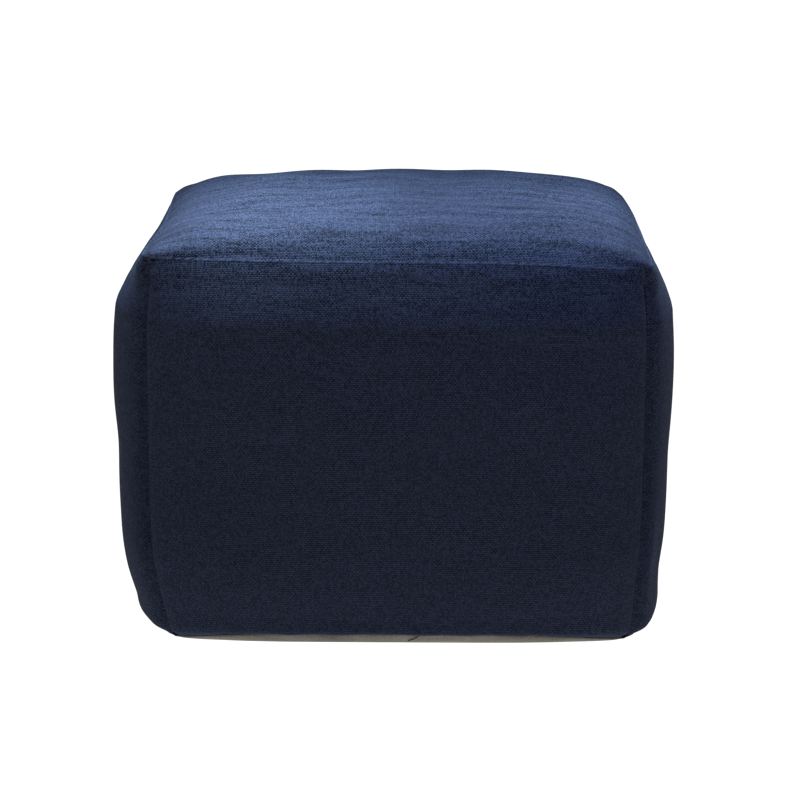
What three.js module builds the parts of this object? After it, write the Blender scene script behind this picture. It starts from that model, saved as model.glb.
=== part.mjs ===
// Square pouf of navy slub cloth on a beige base panel.
// Millimetres, +Z up. The origin is on the floor, under the middle of the pouf.
// The body is one filled solid: a crowned top panel and four bulging side panels, drawn in at their seams.
// The base panel is a thin dish of cloth that lies flat on the floor and rolls up to the base seam.

import * as THREE from 'three';
import { mergeVertices } from 'three/addons/utils/BufferGeometryUtils.js';

// Driving sizes
const BASE_SEAM = 9; // height of the base seam over the floor, at the middle of each side
const TOP_SEAM = 341; // height of the top seam
const EDGE_CROWN = 21; // rise of the top panel just inside its seam
const DOME_CROWN = 13.5; // further rise to the middle of the top panel
const CROWN_LEAN = 3; // how much fuller the top is towards +X
const WALL_FULLNESS = 4.6; // exponent: how squarely a bulge fills the width of its side panel
const SEAM_FULLNESS = 2.4; // exponent: how evenly the top seam bows out between its corners
const SHOULDER = 270; // height from which a bowed top seam draws its side panel out
const SHOULDER_RISE = 65; // from there up to where the side panel is drawn out in full
const BASE_CLOTH = 2; // thickness of the base panel
const BASE_ROLL = 16; // run of the base panel from its seam in to where it lies flat
const CLEARANCE = 0.3; // between the body and the base panel

// Sections up the side panels: height, half distance between corner seams, and bulge past them at mid-panel
const SECTIONS = [
  { z: BASE_SEAM, corner: 197, bulge: 18 },
  { z: 16, corner: 203, bulge: 35 },
  { z: 30, corner: 207, bulge: 33.3 },
  { z: 55, corner: 213, bulge: 33 },
  { z: 90, corner: 218, bulge: 31.6 },
  { z: 150, corner: 219.7, bulge: 32 },
  { z: 228, corner: 220.2, bulge: 35.7 },
  { z: 283, corner: 220.2, bulge: 32.3 },
  { z: 305, corner: 219.2, bulge: 20.5 },
  { z: 320, corner: 218.4, bulge: 10 },
  { z: TOP_SEAM, corner: 218, bulge: 0 },
];

// Side panels: quarter turns about +Z from the front, which faces -Y, the share of the bulge each has,
// how far its top seam bows out, how much fuller it is near the floor, and the exponent of the top panel's
// roll: how tightly that panel turns over just inside the seam
const SIDES = [
  { name: 'front', turns: 0, share: 1, topBow: 18, foot: 0, roll: 12 },
  { name: 'right', turns: 1, share: 0.73, topBow: 3, foot: 8, roll: 10 },
  { name: 'back', turns: 2, share: 1, topBow: 18, foot: 0, roll: 8.5 },
  { name: 'left', turns: 3, share: 0.91, topBow: 1, foot: -2, roll: 7.8 },
];

// Seams: how deep the thread draws the cloth in, the width of that valley, and how far it lowers the edge
const CORNER_SEAM = { depth: 4, width: 9 };
const TOP_SEAM_PULL = { depth: 2.5, width: 8, drop: 1.8 };

// Where the fuller foot of a side panel is: its height and its reach up and down
const FOOT = { height: 16, reach: 26 };

// How far the lower corners sag towards the floor, the exponent of that sag along the sides, and its reach up
const CORNER_SAG = { depth: 6.5, fullness: 4, reach: 25 };

// Grid lines: distances in from the corner seams, heights up the side panels, and steps round the base roll
const FROM_SEAM = [0, 3.5, 8, 15, 25, 38, 55, 80, 115, 160];
const HEIGHTS = [
  BASE_SEAM + CLEARANCE, 12, 16, 22, 30, 42, 60, 90, 130, 180, 228, 260,
  283, 298, 310, 320, 328, 334, TOP_SEAM,
];
const ROLL_STEPS = 5;

const UP = new THREE.Vector3(0, 0, 1);
const HEM = HEIGHTS[0];
const TOP_CORNER = SECTIONS.at(-1).corner;
const BASE_CORNER = SECTIONS[0].corner;
const FULLEST = Math.max(...SECTIONS.map((row) => row.bulge));
const sideNamed = (name) => SIDES.find((side) => side.name === name);

// The fuller left side would put the box off centre, so the whole pouf is shifted back over the origin
const CENTRING = new THREE.Vector3((FULLEST * (sideNamed('left').share - sideNamed('right').share)) / 2, 0, 0);

// Positions across a panel from -1 at one corner seam to 1 at the other
const ACROSS = [
  ...FROM_SEAM.map((d) => d / TOP_CORNER - 1),
  0,
  ...FROM_SEAM.map((d) => 1 - d / TOP_CORNER).reverse(),
];

// Depth of a seam's valley at a distance from the seam
const valley = (distance, seam) => seam.depth * Math.exp(-((distance / seam.width) ** 2));

// How much of a bulge is left at a position across a panel
const fullness = (s, exponent) => 1 - Math.abs(s) ** exponent;

// Value of one column of SECTIONS at a height, on a smooth curve that doesn't overshoot between rows
function section(column, z) {
  const last = SECTIONS.length - 1;
  const after = SECTIONS.findIndex((row, k) => k > 0 && (row.z >= z || k === last));
  const step = (k) => SECTIONS[k + 1].z - SECTIONS[k].z;
  const rise = (k) => (SECTIONS[k + 1][column] - SECTIONS[k][column]) / step(k);
  const slope = (k) => {
    if (k === 0) return rise(0);
    if (k === last) return rise(last - 1);
    const [below, above] = [rise(k - 1), rise(k)];
    return below * above > 0 ? (2 * below * above) / (below + above) : 0;
  };
  const k = after - 1;
  const t = (z - SECTIONS[k].z) / step(k);
  const here = SECTIONS[k][column] * (1 + 2 * t) * (1 - t) ** 2;
  const next = SECTIONS[after][column] * (3 - 2 * t) * t ** 2;
  return here + next + step(k) * (slope(k) * t * (1 - t) ** 2 - slope(after) * (1 - t) * t ** 2);
}

// How far a side panel stands out past its corner seams, at a position across it and a height
function bulgeAt(side, s, z) {
  const rise = Math.min(Math.max((z - SHOULDER) / SHOULDER_RISE, 0), 1);
  const shoulder = rise ** 2 * (3 - 2 * rise);
  const foot = side.foot * Math.exp(-(((z - FOOT.height) / FOOT.reach) ** 2));
  const wall = (side.share * section('bulge', z) + foot) * fullness(s, WALL_FULLNESS);
  return wall + side.topBow * shoulder * fullness(s, SEAM_FULLNESS);
}

// How far the cloth sags at a position across a side panel and a height, which is most at the base seam
const sag = (s, z) =>
  CORNER_SAG.depth * Math.abs(s) ** CORNER_SAG.fullness * Math.exp(-(((z - HEM) / CORNER_SAG.reach) ** 2));

// Turn a point of the front panel to the panel it belongs to
const onSide = (side, x, y, z) =>
  new THREE.Vector3(x, y, z).applyAxisAngle(UP, (side.turns * Math.PI) / 2).add(CENTRING);

// Point of a side panel, at a position across it and a height
function sidePoint(side, s, z) {
  const corner = section('corner', z);
  const toCorner = corner * (1 - Math.abs(s));
  const toTop = TOP_SEAM - z;
  const topPull = valley(toTop, TOP_SEAM_PULL);
  const pull = valley(toCorner, CORNER_SEAM) + topPull;
  const drop = (topPull / TOP_SEAM_PULL.depth) * TOP_SEAM_PULL.drop;
  const y = -(corner + bulgeAt(side, s, z) - pull);
  return onSide(side, s * (corner - pull), y, z - drop - sag(s, z));
}

// Point of the top panel, at positions across it in X and Y
function topPoint(a, b) {
  const toX = TOP_CORNER * (1 - Math.abs(a));
  const toY = TOP_CORNER * (1 - Math.abs(b));
  const cornerPull = (valley(toX, CORNER_SEAM) * valley(toY, CORNER_SEAM)) / CORNER_SEAM.depth;
  const awayX = 1 - valley(toX, TOP_SEAM_PULL) / TOP_SEAM_PULL.depth;
  const awayY = 1 - valley(toY, TOP_SEAM_PULL) / TOP_SEAM_PULL.depth;
  const atSeam = 1 - awayX * awayY;
  const pull = cornerPull + atSeam * TOP_SEAM_PULL.depth;
  const sideX = sideNamed(a > 0 ? 'right' : 'left');
  const sideY = sideNamed(b > 0 ? 'back' : 'front');
  const bowX = bulgeAt(sideX, b, TOP_SEAM);
  const bowY = bulgeAt(sideY, a, TOP_SEAM);
  const edge = EDGE_CROWN * fullness(a, sideX.roll) * fullness(b, sideY.roll);
  const dome = (DOME_CROWN + CROWN_LEAN * a) * fullness(a, 2) * fullness(b, 2);
  const z = TOP_SEAM - atSeam * TOP_SEAM_PULL.drop + edge + dome;
  return new THREE.Vector3(a * (TOP_CORNER + bowX - pull), b * (TOP_CORNER + bowY - pull), z).add(CENTRING);
}

// Closed loop of points round the base roll, at an angle from the seam (0) to flat (PI / 2), offset inwards
function baseLoop(angle, offset, lift = 0) {
  return SIDES.flatMap((side) =>
    ACROSS.slice(0, -1).map((s) => {
      const seam = BASE_SEAM - sag(s, HEM);
      const inset = BASE_ROLL - (BASE_ROLL - offset) * Math.cos(angle);
      const z = seam - (seam - offset) * Math.sin(angle) + lift;
      const toCorner = BASE_CORNER * (1 - Math.abs(s));
      const half = BASE_CORNER - inset - valley(toCorner, CORNER_SEAM) * Math.cos(angle);
      return onSide(side, s * half, -(half + bulgeAt(side, s, BASE_SEAM)), z);
    }),
  );
}

// The loops of the base roll from the seam in to where the cloth lies flat
const rollLoops = (offset) =>
  Array.from({ length: ROLL_STEPS + 1 }, (_, k) => baseLoop((k / ROLL_STEPS) * (Math.PI / 2), offset));

// Triangles of a grid of points, facing the side from which its rows turn counter-clockwise
function gridFaces(rows) {
  const faces = [];
  for (let j = 0; j < rows.length - 1; j += 1) {
    for (let i = 0; i < rows[j].length - 1; i += 1) {
      const [p, q, r, t] = [rows[j][i], rows[j][i + 1], rows[j + 1][i + 1], rows[j + 1][i]];
      faces.push([p, q, r], [p, r, t]);
    }
  }
  return faces;
}

// Triangles between closed loops, and from the last loop to a middle point
const bandFaces = (loops) => gridFaces(loops.map((loop) => [...loop, loop[0]]));

function fanFaces(loop) {
  const middle = new THREE.Vector3(CENTRING.x, 0, loop[0].z);
  return loop.map((point, k) => [point, loop[(k + 1) % loop.length], middle]);
}

const flipped = (faces) => faces.map(([p, q, r]) => [p, r, q]);

// One closed mesh from its triangles
function clothMesh(name, faces, colour, roughness) {
  const soup = new THREE.BufferGeometry().setFromPoints(faces.flat());
  const geometry = mergeVertices(soup, 1e-3);
  geometry.computeVertexNormals();
  const material = new THREE.MeshStandardMaterial({ color: colour, roughness, metalness: 0 });
  const mesh = new THREE.Mesh(geometry, material);
  mesh.name = name;
  return mesh;
}

// Filled body: side panels, top panel, and an underside that lies in the base panel
function poufBody() {
  const sides = SIDES.flatMap((side) =>
    gridFaces(HEIGHTS.map((z) => ACROSS.map((s) => sidePoint(side, s, z)))),
  );
  const top = gridFaces(ACROSS.map((b) => ACROSS.map((a) => topPoint(a, b))));
  const hem = SIDES.flatMap((side) => ACROSS.slice(0, -1).map((s) => sidePoint(side, s, HEM)));
  const ledge = baseLoop(0, BASE_CLOTH + CLEARANCE, CLEARANCE);
  const roll = rollLoops(BASE_CLOTH + CLEARANCE).slice(1);
  const underside = [...bandFaces([hem, ledge, ...roll]), ...fanFaces(roll.at(-1))];
  return clothMesh('pouf_body', [...sides, ...top, ...flipped(underside)], 0x27324b, 0.95);
}

// Base panel: outer face, inner face and the cut edge at the base seam
function basePanel() {
  const outer = rollLoops(0);
  const inner = rollLoops(BASE_CLOTH);
  const under = [...bandFaces(outer), ...fanFaces(outer.at(-1))];
  const over = [...bandFaces([outer[0], ...inner]), ...fanFaces(inner.at(-1))];
  return clothMesh('base_panel', [...flipped(under), ...over], 0xb3aca0, 0.95);
}

const pouf = new THREE.Group();
pouf.name = 'square_pouf';
pouf.add(poufBody(), basePanel());

export default pouf;
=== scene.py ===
import math

import bpy
import numpy as np
from mathutils import Matrix, Vector


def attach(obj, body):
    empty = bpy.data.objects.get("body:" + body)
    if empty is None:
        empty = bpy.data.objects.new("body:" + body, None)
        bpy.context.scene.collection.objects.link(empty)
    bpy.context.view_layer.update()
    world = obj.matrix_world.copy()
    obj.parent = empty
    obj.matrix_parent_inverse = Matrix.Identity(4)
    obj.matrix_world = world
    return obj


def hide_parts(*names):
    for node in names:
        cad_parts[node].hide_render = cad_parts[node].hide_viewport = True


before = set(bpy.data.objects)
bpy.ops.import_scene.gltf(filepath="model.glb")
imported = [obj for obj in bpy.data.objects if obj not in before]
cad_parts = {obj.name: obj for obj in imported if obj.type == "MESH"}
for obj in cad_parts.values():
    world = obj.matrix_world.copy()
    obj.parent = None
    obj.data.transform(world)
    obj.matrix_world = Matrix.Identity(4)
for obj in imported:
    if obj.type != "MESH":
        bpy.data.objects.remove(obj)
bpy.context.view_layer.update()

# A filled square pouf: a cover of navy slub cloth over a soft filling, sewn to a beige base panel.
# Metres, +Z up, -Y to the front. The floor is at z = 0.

MM = 0.001

# Driving sizes, the same as the solids have
BASE_SEAM = 9 * MM          # height of the base seam over the floor, at the middle of each side
TOP_SEAM = 341 * MM         # height of the top seam
EDGE_CROWN = 21 * MM        # rise of the top panel just inside its seam
DOME_CROWN = 13.5 * MM      # further rise to the middle of the top panel
CROWN_LEAN = 3 * MM         # how much fuller the top is towards +X
DOME_FULLNESS = 2           # exponent: how squarely the dome fills the top panel
WALL_FULLNESS = 4.6         # exponent: how squarely a bulge fills the width of its side panel
SEAM_FULLNESS = 2.4         # exponent: how evenly the top seam bows out between its corners
SHOULDER = 270 * MM         # height from which a bowed top seam draws its side panel out
SHOULDER_RISE = 65 * MM     # from there up to where the side panel is drawn out in full
BASE_CLOTH = 2 * MM         # thickness of the base panel
BASE_ROLL = 16 * MM         # run of the base panel from its seam in to where it lies flat
CLEARANCE = 0.3 * MM        # between the cover and the base panel

# Sections up the side panels in mm: height, half distance between corner seams, bulge past them
SECTIONS = np.array((
    (9, 197, 18),
    (16, 203, 35),
    (30, 207, 33.3),
    (55, 213, 33),
    (90, 218, 31.6),
    (150, 219.7, 32),
    (228, 220.2, 35.7),
    (283, 220.2, 32.3),
    (305, 219.2, 20.5),
    (320, 218.4, 10),
    (341, 218, 0),
)) * MM
HEIGHT, CORNER, BULGE = SECTIONS.T
TOP_CORNER, BASE_CORNER = CORNER[-1], CORNER[0]

# Side panels, in quarter turns from the front: share of the bulge that each has, how far its top seam
# bows out, how much fuller it is near the floor, and how tightly the top panel rolls over to it
SIDES = {
    "front": (1.0, 18 * MM, 0, 12),
    "right": (0.73, 3 * MM, 8 * MM, 10),
    "back": (1.0, 18 * MM, 0, 8.5),
    "left": (0.91, 1 * MM, -2 * MM, 7.8),
}
SHARE, ROLL = 0, 3          # first and last column of these rows
TURNS = {name: turns for turns, name in enumerate(SIDES)}
FOOT_HEIGHT, FOOT_REACH = 16 * MM, 26 * MM
HEM = BASE_SEAM + CLEARANCE                 # height of the lower edge of the side panels
SAG, SAG_FULLNESS, SAG_REACH = 6.5 * MM, 4, 25 * MM     # how the lower corners sag towards the floor
CENTRING = BULGE.max() * (SIDES["left"][SHARE] - SIDES["right"][SHARE]) / 2

# Seams: depth and width of the valley that the thread draws into the cloth
CORNER_PULL = (4 * MM, 9 * MM)
TOP_PULL = (0.8 * MM, 8 * MM)       # shallower than in the solids, since the turned edge stands up on it
TOP_DROP = 0.6 * MM         # how far the top seam is drawn down

# Fine forms at the seams: heights and widths in the cloth
CORNER_CREASE = (5 * MM, 4 * MM)        # deeper crease down the corner seams
CREASE_BELOW = 15 * MM                  # from the top seam down to where it starts
BEAD = (0.8 * MM, 1.0 * MM)             # turned edge of the top panel, along its seam
BEAD_ENDS = (7 * MM, 38 * MM)           # how far it fades at its left or front end, and at the other end
BEAD_SPACING = 6 * MM                   # between the stitches that part it into small beads
BEAD_EVENNESS = 0.6                     # share of its height that the beads have in common
BEAD_SEED = 50
PUCKER = (0.25 * MM, 9 * MM)            # small gathers beside the seams
PUCKER_START = 0.3                      # share of their width in which they rise from the sewn line
PUCKER_SPACING = 11 * MM
PUCKER_SEEDS = 10                       # seeds that are kept for the gathers of each panel
HEM_LIFT = 2.6 * MM                     # how far the base seam is drawn up along the middle of each side
HEM_FULLNESS = 3                        # exponent: how evenly it is drawn up
HEM_SWAY = 0.6 * MM                     # waviness of the base seam
HEM_SPACING = 42 * MM
HEM_SEEDS = (71, 72)                    # for the waves along X and along Y
HEM_REACH = 8 * MM                      # how far from the base seam the cover moves with it
RIM_REACH = 4 * MM                      # and how far from it the base panel does

# Fine forms at the corners
PINCHES = {                             # deeper valley in the upper end of each corner seam
    "front": (4 * MM, 6 * MM),
    "right": (6 * MM, 12 * MM),
    "back": (4 * MM, 6 * MM),
    "left": (6 * MM, 12 * MM),
}
PINCH_BELOW = 16 * MM                   # from the top seam down to the middle of that valley
PINCH_REACH = 20 * MM
EAR = (2.5 * MM, 11 * MM)               # fuller place by the front corners, high on the left and right
EAR_PLACE = (35 * MM, 13 * MM)          # its middle, from the corner seam and from the top seam
EAR_REACH = 40 * MM
CREST = 3 * MM                          # fold on the top panel that leaves its edge at the corners
CREST_OUTER, CREST_INNER = 4 * MM, 24 * MM      # its widths, towards the seam and away from it
CREST_INSIDE = 2 * MM                   # from the top seam in to that fold, at a corner
CREST_SPREAD = (0.11, 0.28)             # and how it draws away from the seam, at a left and a right corner
CREST_START = 8 * MM                    # from the corner along to where it starts
CREST_REACH = (90 * MM, 60 * MM)
TUCK = (4 * MM, 1.3 * MM)               # short deep tuck under the top seam at the front left corner
TUCK_PLACE = (9.5 * MM, 1.6 * MM)       # its middle, from the corner seam and from the top seam
TUCK_REACH = 4 * MM

# Fine forms of the filling
SLUMP = (7 * MM, 90 * MM)               # how far the front right corner of the top has slumped, and its reach
SLUMP_BELOW = 60 * MM                   # from the top seam down to where that has faded
SPLAY = (8 * MM, 45 * MM)               # how far the front right lower corner is splayed out, and its reach
SPLAY_HEIGHT = 8 * MM
DRAWN_IN = (                            # top seam, left -1 or right 1: how far in, place, reach, width
    (-1, 5.5 * MM, 0, 130 * MM, 32 * MM),
    (1, 2.7 * MM, -80 * MM, 90 * MM, 22 * MM),
)
SWELL = 0.3 * MM                        # soft unevenness of the filling, on the sides and on the top
TOP_SWELL = 1.4 * MM
SWELL_SIZE = 85 * MM
SWELL_INSIDE = 30 * MM                  # from the seams in to where it shows, on the sides and on the top
TOP_SWELL_INSIDE = 55 * MM
WRINKLES = (                            # side, from the seam, from and to a height, rise, width
    ("right", 15 * MM, 50 * MM, 132 * MM, 1.1 * MM, 2.0 * MM),
    ("right", 20 * MM, 44 * MM, 120 * MM, 0.9 * MM, 2.0 * MM),
)
WAVE_STRETCH = (0.7, 1.6)               # shortest and longest of the waves that make up an uneven form
WAVE_PARTS, SWELL_PARTS = 5, 9          # how many of them there are along a line, and over a panel

# Pale threads: on the turned edge partly worn threads and partly a painted highlight where the fold catches
# the light, on wrinkle crests a painted highlight
EDGE_WEAR_AND_HIGHLIGHT = (1.0, 0.8 * MM)                  # share of pale threads on the turned edge, part wear and part painted highlight, and how widely
CREST_HIGHLIGHT = 0.35                       # share of pale threads on the crest of a wrinkle: a painted highlight
CREST_HIGHLIGHT_HEIGHT = 1 * MM                    # height of a crest that has the painted highlight in full
WEAR_AND_HIGHLIGHT_PALER = 2.2                        # how much paler they are than the lightest threads

# Weave: cycles of unevenness for each metre across and up the cloth
WARP_WANDER = (70.0, 30.0)
WEFT_WANDER = (30.0, 70.0)
THICK_PLACES = (90.0, 70.0)             # along a warp thread, and along a weft thread
STREAKS = (24.0, 260.0)                 # runs of thicker weft
BANDS = (12.0, 70.0)                    # paler and darker bands of weft
FIBRES = (1000.0, 1000.0)

# Weave: how much each thing tells
WANDER = (0.7, 0.9)                     # how far warp and weft threads wander, in threads
THREAD_CROWN = (0.35, 0.5)              # crown of the thinnest thread, and how much more the thickest has
CROSSING_LIFT = 0.45                    # rise of a thread where it passes over another
STREAK_LIFT = 0.8                       # rise of a streak
STREAK_TONE = 1.4                       # tone of the streaks and bands
FIBRE_TONE = 1.5
CROWN_SHADING, MEAN_CROWN = 0.6, 0.9       # painted shading of a thread's crown, against the mean crown: paler crowns, painted shade in the gaps
SHADE_TONE = 0.85                       # shade of its own that a thread has at each crossing
WEFT_TONE = 0.38                        # how much paler the weft is than the warp
THREAD_SPREAD = 90.0                    # keeps the noise of one thread away from that of the next
SHADE_SPREAD = (7.31, 5.77)             # and the shades of one warp or weft thread from those of the next
WEFT_SHIFT = 0.37                       # keeps the draws for the weft apart from those for the warp
RAKED_SLUB = 0.75                       # how much more the slubs show where light rakes over the cloth, as painted shading in the colour
RAKED_GRAIN = 0.65                      # and the grain
RAKED_REACH = 30 * MM                   # from the top seam down to where that has faded
SMOOTHER = 0.15                         # how much less rough the lightest threads are

# Camera: degrees above level, degrees of roll, metres, and mm of lens and of sensor
CAMERA_RISE = 11.41
CAMERA_ROLL = 0.30
CAMERA_DISTANCE = 2.890
CAMERA_TARGET = (0.0063, 0, 0.1748)
CAMERA_LENS = 140.7
CAMERA_SENSOR = 36

# Light: the floor is a white sheet that is lit from below, and softboxes hang over the pouf
FLOOR_COLOUR = (0.03, 0.03, 0.03)
FLOOR_ROUGHNESS = 0.9
FLOOR_GLOW = 1.1
SURROUNDINGS = 0.02         # brightness of all that lies round the floor
SOFTBOX_SIZE = 0.21
SOFTBOXES = (               # name, place, strength, colour
    ("front_left_softbox", (-0.14, -0.175, 0.54), 2.5, (0.72, 0.88, 1.0)),
    ("front_right_softbox", (0.17, -0.235, 0.57), 0.95, (0.42, 0.58, 1.0)),
    ("back_left_softbox", (-0.15, 0.05, 0.52), 1.3, (0.78, 0.92, 0.98)),
    ("back_right_softbox", (0.24, -0.02, 0.57), 2.5, (0.76, 0.91, 1.0)),
)

# Loose thread end that hangs from the front base seam: its run in X and Z, and its half thickness
THREAD_RUN = np.array(((20.4, 9.2), (18.3, 8.1), (16.2, 6.6), (14.0, 5.9), (12.4, 5.0), (11.1, 4.6))) * MM
THREAD_RADIUS = 0.45 * MM

# Spacing of the grid: fine beside a seam, wider in the open cloth
BESIDE_SEAM = np.array((0, 0.9, 1.8, 2.8, 4, 5.5, 7.5, 10, 13, 16.5)) * MM
OPEN_STEP = 4 * MM
SETTLE_STEP = 8 * MM        # grid of the cloth that is settled by simulation
ROLL_STEPS = 6              # steps round the base roll
RING_STEPS = 24             # steps from the base roll in to the middle of the base
WELD = 0.01 * MM            # points that fall in one cell of this size are one point
WELD_SHIFT = 0.37           # moves the cells, so that no point lies on the edge of one


def valley(distance, pull):
    """Depth of a valley, or height of a ridge, at a distance from its line."""
    depth, width = pull
    return depth * np.exp(-((distance / width) ** 2))


def fade(distance, reach):
    """Share of a form that is left at a distance from its middle."""
    return valley(distance, (1, reach))


def fullness(position, exponent):
    """Share of a bulge that is left at a position across a panel, from -1 to 1."""
    return 1 - np.abs(position) ** exponent


def section(column, z):
    """Value of a column of the sections at z, on a smooth curve with no overshoot between rows."""
    step = np.diff(HEIGHT)
    rise = np.diff(column) / step
    below, above = rise[:-1], rise[1:]
    same_way = below * above > 0
    inner = np.where(same_way, 2 * below * above / np.where(same_way, below + above, 1), 0)
    slope = np.concatenate([rise[:1], inner, rise[-1:]])
    k = np.clip(np.searchsorted(HEIGHT, z) - 1, 0, len(step) - 1)
    t = (z - HEIGHT[k]) / step[k]
    here = column[k] * (1 + 2 * t) * (1 - t) ** 2
    after = column[k + 1] * (3 - 2 * t) * t ** 2
    return here + after + step[k] * (slope[k] * t * (1 - t) ** 2 - slope[k + 1] * (1 - t) * t ** 2)


def turned(x, y, z, turns):
    """Points of the front panel turned to another side, and centred over the origin."""
    for _ in range(turns):
        x, y = -y, x
    return np.stack(np.broadcast_arrays(x + CENTRING, y, z), axis=-1)


def bulge_at(name, s, z):
    """How far a side panel stands out past its corner seams, at positions across it and heights."""
    share, top_bow, foot, _ = SIDES[name]
    rise = np.clip((z - SHOULDER) / SHOULDER_RISE, 0, 1)
    shoulder = rise ** 2 * (3 - 2 * rise)
    low = foot * np.exp(-(((z - FOOT_HEIGHT) / FOOT_REACH) ** 2))
    wall = (share * section(BULGE, z) + low) * fullness(s, WALL_FULLNESS)
    return wall + top_bow * shoulder * fullness(s, SEAM_FULLNESS)


def sag(s, z):
    """How far the cloth sags at positions across a side panel and heights, which is most at the base seam."""
    return SAG * np.abs(s) ** SAG_FULLNESS * np.exp(-(((z - HEM) / SAG_REACH) ** 2))


def slump(a, b, below=0.0):
    """How far the cover has slumped near one top corner, at positions across the top and below its seam."""
    from_corner = np.hypot(1 - a, 1 + b) * TOP_CORNER
    return valley(from_corner, SLUMP) * fade(below, SLUMP_BELOW)


def side_points(name, across, z):
    """Grid of points on a side panel, rows up it and columns across it."""
    s, z = across[None, :], z[:, None]
    corner = section(CORNER, z)
    to_corner = corner * (1 - np.abs(s))
    to_top = TOP_SEAM - z
    top_pull = valley(to_top, TOP_PULL)
    pull = valley(to_corner, CORNER_PULL) + top_pull
    drop = top_pull / TOP_PULL[0] * TOP_DROP
    a, b = s, -np.ones_like(s)
    for _ in range(TURNS[name]):
        a, b = -b, a
    lowered = drop + sag(s, z) + slump(a, b, to_top)
    y = -(corner + bulge_at(name, s, z) - pull)
    return turned(s * (corner - pull), y, z - lowered, TURNS[name])


def top_points(across):
    """Grid of points on the top panel, rows along Y and columns along X."""
    a, b = across[None, :], across[:, None]
    to_x = TOP_CORNER * (1 - np.abs(a))
    to_y = TOP_CORNER * (1 - np.abs(b))
    corner_pull = valley(to_x, CORNER_PULL) * valley(to_y, CORNER_PULL) / CORNER_PULL[0]
    away_x = 1 - valley(to_x, TOP_PULL) / TOP_PULL[0]
    away_y = 1 - valley(to_y, TOP_PULL) / TOP_PULL[0]
    at_seam = 1 - away_x * away_y
    pull = corner_pull + at_seam * TOP_PULL[0]
    bow_x = np.where(a > 0, bulge_at("right", b, TOP_SEAM), bulge_at("left", b, TOP_SEAM))
    bow_y = np.where(b > 0, bulge_at("back", a, TOP_SEAM), bulge_at("front", a, TOP_SEAM))
    roll_x = np.where(a > 0, SIDES["right"][ROLL], SIDES["left"][ROLL])
    roll_y = np.where(b > 0, SIDES["back"][ROLL], SIDES["front"][ROLL])
    edge = EDGE_CROWN * fullness(a, roll_x) * fullness(b, roll_y)
    dome = (DOME_CROWN + CROWN_LEAN * a) * fullness(a, DOME_FULLNESS) * fullness(b, DOME_FULLNESS)
    z = TOP_SEAM - at_seam * TOP_DROP + edge + dome - slump(a, b)
    return turned(a * (TOP_CORNER + bow_x - pull), b * (TOP_CORNER + bow_y - pull), z, 0)


def base_loop(across, angle, offset, lift=0.0):
    """Closed loop of points round the base roll, at an angle from the seam (0) to flat, offset inwards."""
    s = across[:-1]
    seam = BASE_SEAM - sag(s, HEM)
    inset = BASE_ROLL - (BASE_ROLL - offset) * math.cos(angle)
    z = seam - (seam - offset) * math.sin(angle) + lift
    half = BASE_CORNER - inset - valley(BASE_CORNER * (1 - np.abs(s)), CORNER_PULL) * math.cos(angle)
    sides = [turned(s * half, -(half + bulge_at(name, s, BASE_SEAM)), z, TURNS[name]) for name in SIDES]
    return np.concatenate(sides)


def roll_loops(across, offset):
    """Loops from the base seam round the roll, then in over the flat of the base to near its middle."""
    angles = np.linspace(0, math.pi / 2, ROLL_STEPS + 1)
    loops = [base_loop(across, angle, offset) for angle in angles]
    middle = np.array((CENTRING, 0, loops[-1][0, 2]))
    shrinks = np.linspace(1, 0, RING_STEPS + 1)[1:-1]
    return loops + [middle + (loops[-1] - middle) * shrink for shrink in shrinks]


def spaced(length, ends, step):
    """Distances along a length: the given ones in from both its ends, then even steps between."""
    count = round((length - 2 * ends[-1]) / step)
    middle = np.linspace(ends[-1], length - ends[-1], count + 1)
    return np.concatenate([ends[:-1], middle, length - ends[-2::-1]])


def grid_lines(ends, step):
    """Positions across a panel from -1 to 1, and heights up a side panel."""
    return spaced(2 * TOP_CORNER, ends, step) / TOP_CORNER - 1, HEM + spaced(TOP_SEAM - HEM, ends, step)


def panel_grids(across, heights):
    """Points of the five panels of the cover, by name."""
    grids = {name: side_points(name, across, heights) for name in SIDES}
    grids["top"] = top_points(across)
    return grids


def grid_quads(index):
    """Four-cornered faces of a grid of point numbers."""
    corners = index[:-1, :-1], index[:-1, 1:], index[1:, 1:], index[1:, :-1]
    return np.stack(corners, axis=-1).reshape(-1, 4)


def band_faces(index):
    """Faces between closed loops of point numbers, facing out of the underside, and the last loop as one."""
    closed = np.concatenate([index, index[:, :1]], axis=1)
    return grid_quads(closed)[:, ::-1].tolist() + [index[-1, ::-1].tolist()]


def welded(grids):
    """One list of points for several grids that share edges, and each grid's point numbers in it."""
    points = np.concatenate([grid.reshape(-1, 3) for grid in grids])
    keys = np.floor(points / WELD + WELD_SHIFT).astype(np.int64)
    _, first, number = np.unique(keys, axis=0, return_index=True, return_inverse=True)
    splits = np.cumsum([grid.shape[0] * grid.shape[1] for grid in grids])[:-1]
    numbers = [n.reshape(grid.shape[:2]) for n, grid in zip(np.split(number.reshape(-1), splits), grids)]
    return points[first], numbers


def outward(points, quads):
    """Unit vector that points out of the cloth at each point."""
    p, q, r, t = (points[quads[:, k]] for k in range(4))
    facing = np.cross(r - p, t - q)
    total = np.zeros_like(points)
    for k in range(4):
        np.add.at(total, quads[:, k], facing)
    return total / np.maximum(np.linalg.norm(total, axis=1, keepdims=True), 1e-12)


def new_piece(name, points, faces, measure=None):
    """Smooth mesh object. The cloth's own measure in metres is its UV map, a value for each face corner."""
    mesh = bpy.data.meshes.new(name)
    mesh.from_pydata(points.tolist(), [], faces)
    mesh.shade_smooth()
    if measure is not None:
        uv_map = mesh.uv_layers.new(name="cloth_measure")
        uv_map.uv.foreach_set("vector", np.asarray(measure, np.float32).ravel())
    piece = bpy.data.objects.new(name, mesh)
    bpy.context.scene.collection.objects.link(piece)
    return piece


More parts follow.
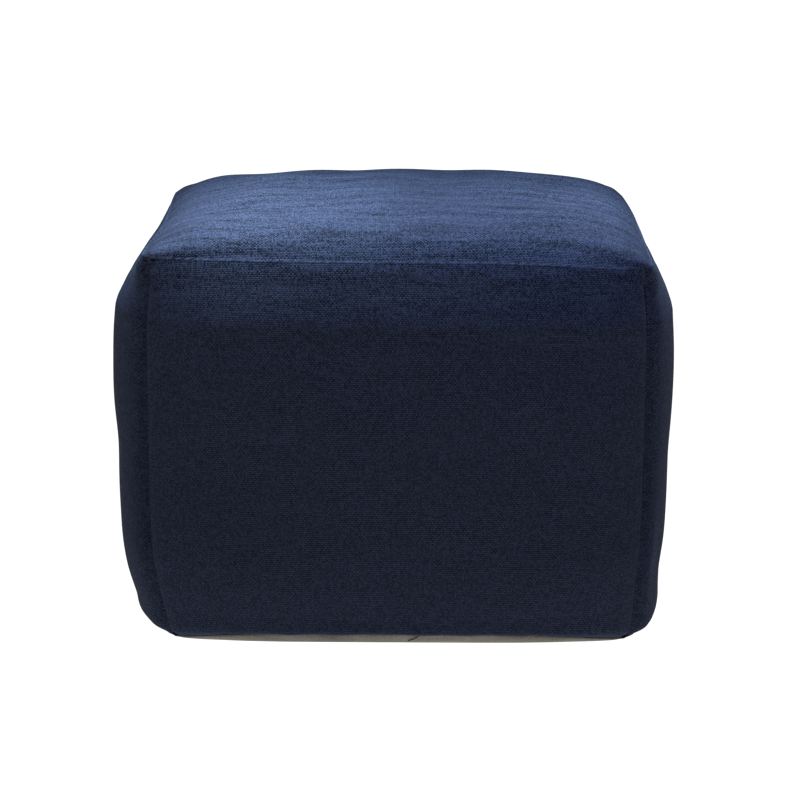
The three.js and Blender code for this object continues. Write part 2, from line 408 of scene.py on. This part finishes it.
def settled_moves(grids, frames=20, largest=5 * MM):
    """How far simulated cloth moves from the sewn panels when the filling presses on it."""
    names = list(grids)
    points, numbers = welded([grids[name] for name in names])
    faces = np.concatenate([grid_quads(number) for number in numbers])
    piece = new_piece("settling_cloth", points, faces.tolist())
    rims = [np.concatenate([n[0], n[-1], n[:, 0], n[:, -1]]) for n in numbers]
    held = piece.vertex_groups.new(name="held_seams")
    held.add(np.unique(np.concatenate(rims)).tolist(), 1.0, "REPLACE")
    cloth = piece.modifiers.new("settling", "CLOTH")
    cloth.settings.quality = 6
    cloth.settings.mass = 0.3
    cloth.settings.tension_stiffness = 25
    cloth.settings.compression_stiffness = 25
    cloth.settings.shear_stiffness = 8
    cloth.settings.bending_stiffness = 2
    cloth.settings.use_pressure = True
    cloth.settings.uniform_pressure_force = 0.1
    cloth.settings.vertex_group_mass = held.name
    cloth.settings.effector_weights.gravity = 0
    cloth.collision_settings.use_collision = False
    cloth.point_cache.frame_end = frames
    for frame_number in range(1, frames + 1):
        bpy.context.scene.frame_set(frame_number)
    shown = piece.evaluated_get(bpy.context.evaluated_depsgraph_get())
    after = np.empty(len(points) * 3, np.float32)
    shown.data.vertices.foreach_get("co", after)
    moves = after.reshape(-1, 3) - points
    length = np.linalg.norm(moves, axis=1, keepdims=True)
    moves *= np.minimum(1, largest / np.maximum(length, 1e-9))
    bpy.data.objects.remove(piece)
    bpy.context.scene.frame_set(1)
    return {name: moves[number] for name, number in zip(names, numbers)}


def blend_weights(places, knots):
    """Matrix that carries values at even knots to other places, on a smooth curve."""
    t = np.interp(places, knots, np.arange(len(knots)))
    k = np.clip(np.floor(t).astype(int), 0, len(knots) - 2)
    f = t - k
    shares = (
        -0.5 * f + f ** 2 - 0.5 * f ** 3,
        1 - 2.5 * f ** 2 + 1.5 * f ** 3,
        0.5 * f + 2 * f ** 2 - 1.5 * f ** 3,
        -0.5 * f ** 2 + 0.5 * f ** 3,
    )
    weights = np.zeros((len(places), len(knots)))
    rows = np.arange(len(places))
    for offset, share in zip((-1, 0, 1, 2), shares):
        np.add.at(weights, (rows, np.clip(k + offset, 0, len(knots) - 1)), share)
    return weights


def settle(grids, across, heights):
    """Moves the points of fine panels as the simulated cloth of coarse ones moves."""
    coarse_across, coarse_heights = grid_lines(np.array((0, SETTLE_STEP)), SETTLE_STEP)
    moves = settled_moves(panel_grids(coarse_across, coarse_heights))
    along = blend_weights(across, coarse_across)
    for name in grids:
        up = along if name == "top" else blend_weights(heights, coarse_heights)
        grids[name] = grids[name] + np.einsum("ij,jkc,lk->ilc", up, moves[name], along)


def cloth_measure(grid):
    """Distances in the cloth of a panel, from its middle: across it and up it, in metres."""
    def along(line):
        steps = np.linalg.norm(np.diff(line, axis=0), axis=1)
        reached = np.concatenate([[0], np.cumsum(steps)])
        return reached - reached[-1] / 2
    return along(grid[len(grid) // 2]), along(grid[:, grid.shape[1] // 2])


def waves(place, spacing, seed):
    """Uneven waves along a line, about one for each spacing, mostly between -1 and 1."""
    dice = np.random.default_rng(seed)
    stretches, phases = dice.uniform(*WAVE_STRETCH, WAVE_PARTS), dice.uniform(0, 2 * np.pi, WAVE_PARTS)
    parts = [np.sin(2 * np.pi * place / (spacing * s) + p) for s, p in zip(stretches, phases)]
    return sum(parts) / len(parts) ** 0.5


def swells(u, v, size, seed):
    """Soft uneven swells over a panel, each about a size across, mostly between -1 and 1."""
    dice = np.random.default_rng(seed)
    least, most = (0, WAVE_STRETCH[0], 0), (np.pi, WAVE_STRETCH[1], 2 * np.pi)
    total = 0
    for turn, stretch, phase in dice.uniform(least, most, (SWELL_PARTS, 3)):
        place = u * np.cos(turn) + v * np.sin(turn)
        total = total + np.sin(2 * np.pi * place / (size * stretch) + phase)
    return total / SWELL_PARTS ** 0.5


def gathers(along, away, seed):
    """Height of the small gathers beside a seam: none on the sewn line, most just beside it."""
    height, width = PUCKER
    beside = np.exp(-away / width) * (1 - fade(away, PUCKER_START * width))
    return height * waves(along, PUCKER_SPACING, seed) * beside


def wrinkles(name, from_left, up):
    """Height of the long wrinkles that run up a side panel beside its first corner seam."""
    total = 0
    for side, place, low, high, rise, width in WRINKLES:
        if side == name:
            shown = fade(up - (low + high) / 2, (high - low) / 2)
            total = total + valley(from_left - place, (rise, width)) * shown
    return total


def painted_crest_highlight(name, u, v):
    """Share of pale threads on a side panel: a painted highlight on the crests of its wrinkles."""
    crest = wrinkles(name, (u - u[0])[None, :], (v - v[0] + BASE_SEAM)[:, None])
    return CREST_HIGHLIGHT * np.minimum(crest / CREST_HIGHLIGHT_HEIGHT, 1)


def turned_edge(u, v, bead):
    """Beaded ridge along the seams of the top panel: its height, for a height and width of bead."""
    total = 0
    for seed, (along, away) in enumerate(((u[None, :], v[:, None]), (v[:, None], u[None, :]))):
        first, last = along.min(), along.max()
        ends = (1 - fade(along - first, BEAD_ENDS[0])) * (1 - fade(last - along, BEAD_ENDS[1]))
        from_seam = np.minimum(away - away.min(), away.max() - away)
        uneven = (1 - BEAD_EVENNESS) * waves(along, BEAD_SPACING, BEAD_SEED + seed)
        beads = np.clip(BEAD_EVENNESS + uneven, 0, 1)
        total = total + valley(from_seam, bead) * ends * beads
    return total


def side_relief(name, seed, u, v):
    """Height of the fine forms on a side panel."""
    from_left, from_right = (u - u[0])[None, :], (u[-1] - u)[None, :]
    from_corner = np.minimum(from_left, from_right)
    from_top = (v[-1] - v)[:, None]
    u, v = u[None, :], v[:, None]
    away = np.minimum(from_corner, from_top)
    relief = SWELL * swells(u, v, SWELL_SIZE, seed) * (1 - fade(away, SWELL_INSIDE))
    relief = relief - valley(from_corner, CORNER_CREASE) * (1 - fade(from_top, CREASE_BELOW))
    pinch = valley(from_corner, PINCHES[name]) * fade(from_top - PINCH_BELOW, PINCH_REACH)
    relief = relief - pinch + wrinkles(name, from_left, v - v[0] + BASE_SEAM)
    if name in ("left", "right"):
        from_front = from_left if name == "right" else from_right
        ear = valley(from_top - EAR_PLACE[1], EAR) * fade(from_front - EAR_PLACE[0], EAR_REACH)
        relief = relief + ear
    if name == "front":
        tuck = valley(from_top - TUCK_PLACE[1], TUCK)
        relief = relief - tuck * fade(from_left - TUCK_PLACE[0], TUCK_REACH)
    for k, (along, distance) in enumerate(((v, from_left), (v, from_right), (u, from_top))):
        relief = relief + gathers(along, distance, PUCKER_SEEDS * seed + k)
    return relief


def top_relief(seed, u, v):
    """Height of the fine forms on the top panel."""
    from_x = np.minimum(u - u[0], u[-1] - u)[None, :]
    from_y = np.minimum(v - v[0], v[-1] - v)[:, None]
    away = np.minimum(from_x, from_y)
    relief = TOP_SWELL * swells(u[None, :], v[:, None], SWELL_SIZE, seed) * (1 - fade(away, TOP_SWELL_INSIDE))
    spread, reach = np.where(u[None, :] < 0, *CREST_SPREAD), np.where(u[None, :] < 0, *CREST_REACH)
    from_crest = from_y - CREST_INSIDE - spread * from_x
    crest = valley(from_crest, (CREST, np.where(from_crest < 0, CREST_OUTER, CREST_INNER)))
    relief = relief + crest * fade(from_x, reach) * (1 - fade(from_x, CREST_START))
    relief = relief + turned_edge(u, v, BEAD)
    relief = relief + gathers(u[None, :], from_y, PUCKER_SEEDS * seed)
    relief = relief + gathers(v[:, None], from_x, PUCKER_SEEDS * seed + 1)
    return relief


def shared_mean(numbers, values, count):
    """Mean at each point of the values on the panels that meet there."""
    total, meeting = np.zeros(count), np.zeros(count)
    for number, value in zip(numbers, values):
        np.add.at(total, number, value)
        np.add.at(meeting, number, 1)
    return total / np.maximum(meeting, 1)


def mark(piece, name, values):
    """Gives each point of a piece a value that its material reads by name."""
    piece.data.attributes.new(name, "FLOAT", "POINT").data.foreach_set("value", values.astype(np.float32))


def hem_sway(points):
    """Rise and fall of the base seam along it."""
    x, y = points[..., 0], points[..., 1]
    from_middle = np.minimum(np.minimum(np.abs(x - CENTRING), np.abs(y)) / BASE_CORNER, 1)
    along_x, along_y = (waves(place, HEM_SPACING, seed) for place, seed in zip((x, y), HEM_SEEDS))
    return HEM_SWAY * (along_x + along_y) / 2 + HEM_LIFT * fullness(from_middle, HEM_FULLNESS)


def drawn_in(points):
    """How far along X the cloth near the left and right top seams is drawn in."""
    x, y, z = points.T
    total = 0
    for way, depth, middle, reach, width in DRAWN_IN:
        from_seam = np.hypot(x - CENTRING - way * TOP_CORNER, z - TOP_SEAM)
        total = total - way * valley(from_seam, (depth, width)) * fade(y - middle, reach)
    return total


def splayed(points):
    """How far along X the cloth near the front right lower corner is splayed out."""
    corner = np.array((BASE_CORNER + CENTRING, -BASE_CORNER, SPLAY_HEIGHT))
    return valley(np.linalg.norm(points - corner, axis=1), SPLAY)


def sewn_measures(measures, panels):
    """The cloth's own measure at the corners of the faces of each panel."""
    for (u, v), number in zip(measures, panels):
        flat = np.stack(np.broadcast_arrays(u[None, :], v[:, None]), axis=-1).reshape(-1, 2)
        yield flat[grid_quads(np.arange(number.size).reshape(number.shape))].reshape(-1, 2)


def pale_wear_and_highlight(measures, panels, count):
    """Share of pale threads at each point of the cover: worn threads and a painted highlight on the turned
    edge, a painted highlight on the wrinkle crests.
    """
    sides = [painted_crest_highlight(name, *measure) for name, measure in zip(SIDES, measures)]
    edge = turned_edge(*measures[-1], EDGE_WEAR_AND_HIGHLIGHT)
    return np.maximum(shared_mean(panels[:-1], sides, count), shared_mean(panels[-1:], [edge], count))


def make_cover():
    """The navy cover: five panels sewn together, swollen by the filling, closed inside the base panel."""
    across, heights = grid_lines(BESIDE_SEAM, OPEN_STEP)
    grids = panel_grids(across, heights)
    measures = [cloth_measure(grid) for grid in grids.values()]
    reliefs = [side_relief(name, seed, *measures[seed]) for seed, name in enumerate(SIDES)]
    reliefs.append(top_relief(len(SIDES), *measures[-1]))
    settle(grids, across, heights)
    hem = np.concatenate([grids[name][0, :-1] for name in SIDES])
    ledge = base_loop(across, 0, BASE_CLOTH + CLEARANCE, CLEARANCE)
    underside = np.stack([hem, ledge, *roll_loops(across, BASE_CLOTH + CLEARANCE)[1:]])
    points, numbers = welded([*grids.values(), underside])
    panels, under = numbers[:-1], numbers[-1]
    quads = np.concatenate([grid_quads(number) for number in panels])

    relief = shared_mean(panels, reliefs, len(points))
    points = points + outward(points, quads) * relief[:, None]
    sway = hem_sway(points) * fade(points[:, 2] - BASE_SEAM, HEM_REACH)
    sway[np.setdiff1d(under, under[0])] = 0
    points[:, 2] += sway
    points[:, 0] += drawn_in(points) + splayed(points)

    below = band_faces(under)
    measure = np.concatenate([*sewn_measures(measures, panels), *(points[face, :2] for face in below)])
    piece = new_piece("pouf_cover", points, quads.tolist() + below, measure)
    # Pale colour: worn threads and a painted highlight on the turned edge, a painted highlight on the wrinkle
    # crests
    mark(piece, "wear_and_highlight_mask", pale_wear_and_highlight(measures, panels, len(points)))
    # Painted shading of the thread relief: more slub and grain contrast in the colour on the top panel,
    # fading out below its seam
    mark(piece, "painted_raking_light", np.exp(-np.maximum(TOP_SEAM - points[:, 2], 0) / RAKED_REACH))
    return piece


def make_base_cloth():
    """The beige base panel: flat on the floor, rolled up all round to the base seam."""
    across, _ = grid_lines(BESIDE_SEAM, OPEN_STEP)
    outer, inner = (np.stack(roll_loops(across, offset)) for offset in (0, BASE_CLOTH))
    points, (under, over) = welded([outer, inner])
    points[:, 2] += hem_sway(points) * fade(points[:, 2] - BASE_SEAM, RIM_REACH)
    points[:, 0] += splayed(points)
    faces = band_faces(under)
    faces += [face[::-1] for face in band_faces(np.concatenate([under[:1], over]))]
    measure = np.concatenate([points[face, :2] for face in faces])
    return new_piece("base_cloth", points, faces, measure), outer


def make_thread_end(sides=8):
    """The loose end of sewing thread: a thin round tube that lies on the base roll at the front."""
    x, z = THREAD_RUN.T
    inset = BASE_ROLL * (1 - np.sqrt(1 - (1 - np.minimum(z / BASE_SEAM, 1)) ** 2))
    y = -(BASE_CORNER + bulge_at("front", 0, BASE_SEAM) - inset) - THREAD_RADIUS
    line = np.stack([x + CENTRING, y, z], axis=1)
    turns = np.linspace(0, 2 * np.pi, sides, endpoint=False)
    ring = np.stack([np.zeros(sides), np.cos(turns), np.sin(turns)], axis=1) * THREAD_RADIUS
    rings = line[:, None, :] + ring[None, :, :]
    index = np.arange(rings.shape[0] * sides).reshape(-1, sides)
    closed = np.concatenate([index, index[:, :1]], axis=1)
    faces = grid_quads(closed).tolist() + [index[0].tolist(), index[-1, ::-1].tolist()]
    points = rings.reshape(-1, 3)
    measure = np.concatenate([points[face][:, (0, 2)] for face in faces])
    return new_piece("thread_end", points, faces, measure)


class Nodes:
    """Puts nodes into a tree and links them, so that a formula can be read in order."""

    def __init__(self, tree):
        self.tree = tree

    def put(self, kind, inputs=None, **settings):
        node = self.tree.nodes.new(kind)
        for name, value in settings.items():
            setattr(node, name, value)
        for key, value in (inputs or {}).items():
            if isinstance(value, bpy.types.NodeSocket):
                self.tree.links.new(value, node.inputs[key])
            else:
                node.inputs[key].default_value = value
        return node

    def math(self, operation, *values):
        return self.put("ShaderNodeMath", dict(enumerate(values)), operation=operation).outputs[0]

    def vector(self, x=0.0, y=0.0, z=0.0):
        return self.put("ShaderNodeCombineXYZ", {"X": x, "Y": y, "Z": z}).outputs[0]

    def place(self, u, v, cycles, layer):
        """Place in a layer of noise that has so many cycles for each metre across and up the cloth."""
        across, up = cycles
        return self.vector(self.math("MULTIPLY", u, across), self.math("MULTIPLY", v, up), layer)

    def part(self, value, middle, share):
        """How far a value lies from its middle, times a share."""
        return self.math("MULTIPLY", self.math("SUBTRACT", value, middle), share)

    def noise(self, place, detail=1.0):
        inputs = {"Vector": place, "Scale": 1.0, "Detail": detail}
        return self.put("ShaderNodeTexNoise", inputs).outputs["Fac"]

    def chance(self, place):
        return self.put("ShaderNodeTexWhiteNoise", {"W": place}, noise_dimensions="1D").outputs["Value"]


def make_plain_weave():
    """Node group: a plain weave of uneven slub threads, from the cloth's own measure."""
    group = bpy.data.node_groups.new("plain_weave", "ShaderNodeTree")
    group.interface.new_socket("Measure", in_out="INPUT", socket_type="NodeSocketVector")
    for name in ("Warp", "Weft", "Slub", "Grain"):
        group.interface.new_socket(name, in_out="INPUT", socket_type="NodeSocketFloat")
    for name in ("Tone", "Height"):
        group.interface.new_socket(name, in_out="OUTPUT", socket_type="NodeSocketFloat")
    n = Nodes(group)
    given = n.put("NodeGroupInput").outputs
    measure = n.put("ShaderNodeSeparateXYZ", {0: given["Measure"]}).outputs
    u, v = measure["X"], measure["Y"]

    # The threads wander a little, and the weave is made of cells where they cross
    wander_u = n.noise(n.place(u, v, WARP_WANDER, layer=3.0))
    wander_v = n.noise(n.place(u, v, WEFT_WANDER, layer=8.0))
    x = n.math("ADD", n.math("DIVIDE", u, given["Warp"]), n.math("MULTIPLY", wander_u, WANDER[0]))
    y = n.math("ADD", n.math("DIVIDE", v, given["Weft"]), n.math("MULTIPLY", wander_v, WANDER[1]))
    column, row = n.math("FLOOR", x), n.math("FLOOR", y)
    side_x = n.math("COSINE", n.part(n.math("FRACT", x), 0.5, math.pi))
    side_y = n.math("COSINE", n.part(n.math("FRACT", y), 0.5, math.pi))
    odd = n.math("PINGPONG", n.math("ADD", column, row), 1.0)
    over = n.math("SUBTRACT", 1.0, n.math("MULTIPLY", odd, 2.0))

    # Each thread has its own run of thick and thin places
    warp_seed = n.math("MULTIPLY", n.chance(column), THREAD_SPREAD)
    weft_seed = n.math("MULTIPLY", n.chance(n.math("ADD", row, WEFT_SHIFT)), THREAD_SPREAD)
    warp_run = n.noise(n.vector(n.math("MULTIPLY", v, THICK_PLACES[0]), warp_seed), detail=2.0)
    weft_run = n.noise(n.vector(n.math("MULTIPLY", u, THICK_PLACES[1]), weft_seed, 5.0), detail=2.0)

    # Crown of each thread where it passes over and under
    thinnest, thicker = THREAD_CROWN
    lift = n.math("MULTIPLY", n.math("MULTIPLY", side_x, side_y), n.math("MULTIPLY", over, CROSSING_LIFT))
    warp_rise = n.math("ADD", n.math("MULTIPLY", warp_run, thicker), thinnest)
    weft_rise = n.math("ADD", n.math("MULTIPLY", weft_run, thicker), thinnest)
    warp = n.math("ADD", n.math("MULTIPLY", side_x, warp_rise), lift)
    weft = n.math("SUBTRACT", n.math("MULTIPLY", side_y, weft_rise), lift)
    height = n.math("MAXIMUM", warp, weft)
    warp_part = n.math("GREATER_THAN", warp, weft)
    weft_part = n.math("SUBTRACT", 1.0, warp_part)

    def on_top(of_warp, of_weft):
        """Value of the thread that lies on top."""
        return n.math("ADD", n.math("MULTIPLY", of_warp, warp_part), n.math("MULTIPLY", of_weft, weft_part))

    # Slubs: thick and thin places of the thread on top, with streaks and bands of weft
    run = on_top(warp_run, weft_run)
    streak = n.math("SUBTRACT", n.noise(n.place(u, v, STREAKS, layer=2.0), detail=3.0), 0.5)
    band = n.math("SUBTRACT", n.noise(n.place(u, v, BANDS, layer=4.0)), 0.5)
    uneven = n.math("MULTIPLY", n.math("ADD", streak, band), STREAK_TONE)
    slub = n.math("ADD", n.math("SUBTRACT", run, 0.5), uneven)

    # Grain: fibres, painted shading of the crowns with painted shade in the gaps between them, and a shade of
    # its own for a thread at each crossing
    warp_cell = n.math("FLOOR", n.math("ADD", row, warp_seed))
    weft_cell = n.math("FLOOR", n.math("ADD", column, weft_seed))
    warp_shade = n.chance(n.math("ADD", warp_cell, n.math("MULTIPLY", column, SHADE_SPREAD[0])))
    weft_shade = n.chance(n.math("ADD", weft_cell, n.math("MULTIPLY", row, SHADE_SPREAD[1])))
    shade = on_top(warp_shade, weft_shade)
    fibre = n.noise(n.place(u, v, FIBRES, layer=6.0))
    grain = n.math("ADD", n.part(fibre, 0.5, FIBRE_TONE), n.part(height, MEAN_CROWN, CROWN_SHADING))
    grain = n.math("ADD", grain, n.part(shade, 0.5, SHADE_TONE))
    grain = n.math("ADD", grain, n.math("MULTIPLY", weft_part, WEFT_TONE))

    # Tone and height of the weave
    tone = n.math("ADD", 0.5, n.math("MULTIPLY", slub, given["Slub"]))
    tone = n.math("ADD", tone, n.math("MULTIPLY", grain, given["Grain"]))
    thick = n.math("ADD", height, n.math("MULTIPLY", streak, STREAK_LIFT))
    n.put("NodeGroupOutput", {"Tone": tone, "Height": thick})
    return group


def woven_cloth(name, weave, dark, light, warp, weft, slub, grain, relief, sheen, sheen_tint):
    """Matt cloth whose colour runs from dark to light with the tone of its weave."""
    material = bpy.data.materials.new(name)
    material.use_nodes = True
    n = Nodes(material.node_tree)
    n.tree.nodes.clear()
    measure = n.put("ShaderNodeUVMap", uv_map="cloth_measure").outputs["UV"]
    # Painted shading: the slubs and grain get more contrast in the colour where light rakes over the top of
    # the cloth
    painted_raking = n.put("ShaderNodeAttribute", attribute_name="painted_raking_light").outputs["Fac"]
    wear_and_highlight = n.put("ShaderNodeAttribute", attribute_name="wear_and_highlight_mask").outputs["Fac"]
    slub = n.math("ADD", slub, n.math("MULTIPLY", painted_raking, RAKED_SLUB))
    grain = n.math("ADD", grain, n.math("MULTIPLY", painted_raking, RAKED_GRAIN))
    inputs = {"Measure": measure, "Warp": warp, "Weft": weft, "Slub": slub, "Grain": grain}
    woven = n.put("ShaderNodeGroup", inputs, node_tree=weave).outputs
    ramp = n.put("ShaderNodeValToRGB", {"Fac": woven["Tone"]})
    for stop, colour in zip(ramp.color_ramp.elements, (dark, light)):
        stop.color = (*colour, 1.0)
    # Paler colour where that mark is set: on the turned edge part wear and part painted highlight, on wrinkle
    # crests painted highlight
    pale = tuple(WEAR_AND_HIGHLIGHT_PALER * part for part in light)
    share, first, second, result = 0, 6, 7, 2       # numbers of the colour sockets of a mix
    mixed = {share: wear_and_highlight, first: ramp.outputs["Color"], second: (*pale, 1.0)}
    colour = n.put("ShaderNodeMix", mixed, data_type="RGBA").outputs[result]
    rough = n.math("SUBTRACT", 1.0, n.math("MULTIPLY", woven["Tone"], SMOOTHER))
    bump = n.put("ShaderNodeBump", {"Height": woven["Height"], "Distance": relief})
    shader = n.put("ShaderNodeBsdfPrincipled", {
        "Base Color": colour,
        "Roughness": rough,
        "Normal": bump.outputs["Normal"],
        "Specular IOR Level": 0.06,
        "Sheen Weight": sheen,
        "Sheen Roughness": 0.4,
        "Sheen Tint": (*sheen_tint, 1.0),
    })
    n.put("ShaderNodeOutputMaterial", {"Surface": shader.outputs["BSDF"]})
    return material


def glowing_material(name, colour, roughness, glow):
    """Plain matt sheet with a white glow."""
    material = bpy.data.materials.new(name)
    material.use_nodes = True
    shader = material.node_tree.nodes["Principled BSDF"]
    shader.inputs["Base Color"].default_value = (*colour, 1.0)
    shader.inputs["Roughness"].default_value = roughness
    shader.inputs["Emission Color"].default_value = (1.0, 1.0, 1.0, 1.0)
    shader.inputs["Emission Strength"].default_value = glow
    return material


def make_floor(size=60.0, drop=0.2 * MM):
    """Plain pale floor, just under the base panel."""
    half = size / 2
    corners = np.array(((-half, -half), (half, -half), (half, half), (-half, half)))
    points = np.concatenate([corners, np.full((4, 1), -drop)], axis=1)
    floor = new_piece("floor", points, [(0, 1, 2, 3)])
    floor.data.materials.append(glowing_material("pale_floor", FLOOR_COLOUR, FLOOR_ROUGHNESS, FLOOR_GLOW))


def make_softbox(name, place, strength, colour):
    """Square softbox that faces straight down."""
    softbox = bpy.data.objects.new(name, bpy.data.lights.new(name, "AREA"))
    softbox.data.energy = strength
    softbox.data.size = SOFTBOX_SIZE
    softbox.data.color = colour
    softbox.location = place
    bpy.context.scene.collection.objects.link(softbox)


def make_world(brightness):
    """Even white surroundings."""
    world = bpy.data.worlds.new("surroundings")
    world.use_nodes = True
    world.node_tree.nodes["Background"].inputs["Color"].default_value = (1, 1, 1, 1)
    world.node_tree.nodes["Background"].inputs["Strength"].default_value = brightness
    bpy.context.scene.world = world


def make_camera():
    """Camera at the photograph's viewing angle, turned a little about its own axis."""
    rise, roll = math.radians(CAMERA_RISE), math.radians(CAMERA_ROLL)
    forward = Vector((0, math.cos(rise), -math.sin(rise)))
    level, upright = Vector((1, 0, 0)), Vector((0, math.sin(rise), math.cos(rise)))
    right = level * math.cos(roll) + upright * math.sin(roll)
    up = upright * math.cos(roll) - level * math.sin(roll)
    camera = bpy.data.objects.new("camera", bpy.data.cameras.new("camera"))
    camera.data.lens = CAMERA_LENS
    camera.data.sensor_width = CAMERA_SENSOR
    place = Matrix.Translation(Vector(CAMERA_TARGET) - forward * CAMERA_DISTANCE)
    camera.matrix_world = place @ Matrix((right, up, -forward)).transposed().to_4x4()
    bpy.context.scene.collection.objects.link(camera)
    bpy.context.scene.camera = camera


plain_weave = make_plain_weave()
navy_cloth = woven_cloth(
    "navy_cloth", plain_weave, dark=(0.0029, 0.0044, 0.0084), light=(0.0354, 0.0449, 0.0834),
    warp=1.5 * MM, weft=1.75 * MM, slub=0.06, grain=0.54, relief=0.45 * MM,
    sheen=0.03, sheen_tint=(0.25, 0.4, 0.9))
beige_cloth = woven_cloth(
    "beige_cloth", plain_weave, dark=(0.115, 0.106, 0.092), light=(0.23, 0.212, 0.184),
    warp=1.1 * MM, weft=0.9 * MM, slub=0.8, grain=0.4, relief=0.2 * MM,
    sheen=0.1, sheen_tint=(1, 0.95, 0.9))

cover = make_cover()
cover.data.materials.append(navy_cloth)
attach(cover, "root")
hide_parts("pouf_body")

base_cloth, base_loops = make_base_cloth()
base_cloth.data.materials.append(beige_cloth)
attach(base_cloth, "root")
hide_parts("base_panel")

thread_end = make_thread_end()
thread_end.data.materials.append(navy_cloth)
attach(thread_end, "root")

make_floor()
for name, place, strength, colour in SOFTBOXES:
    make_softbox(name, place, strength, colour)
make_world(SURROUNDINGS)
make_camera()
bpy.context.scene.view_settings.view_transform = "Standard"
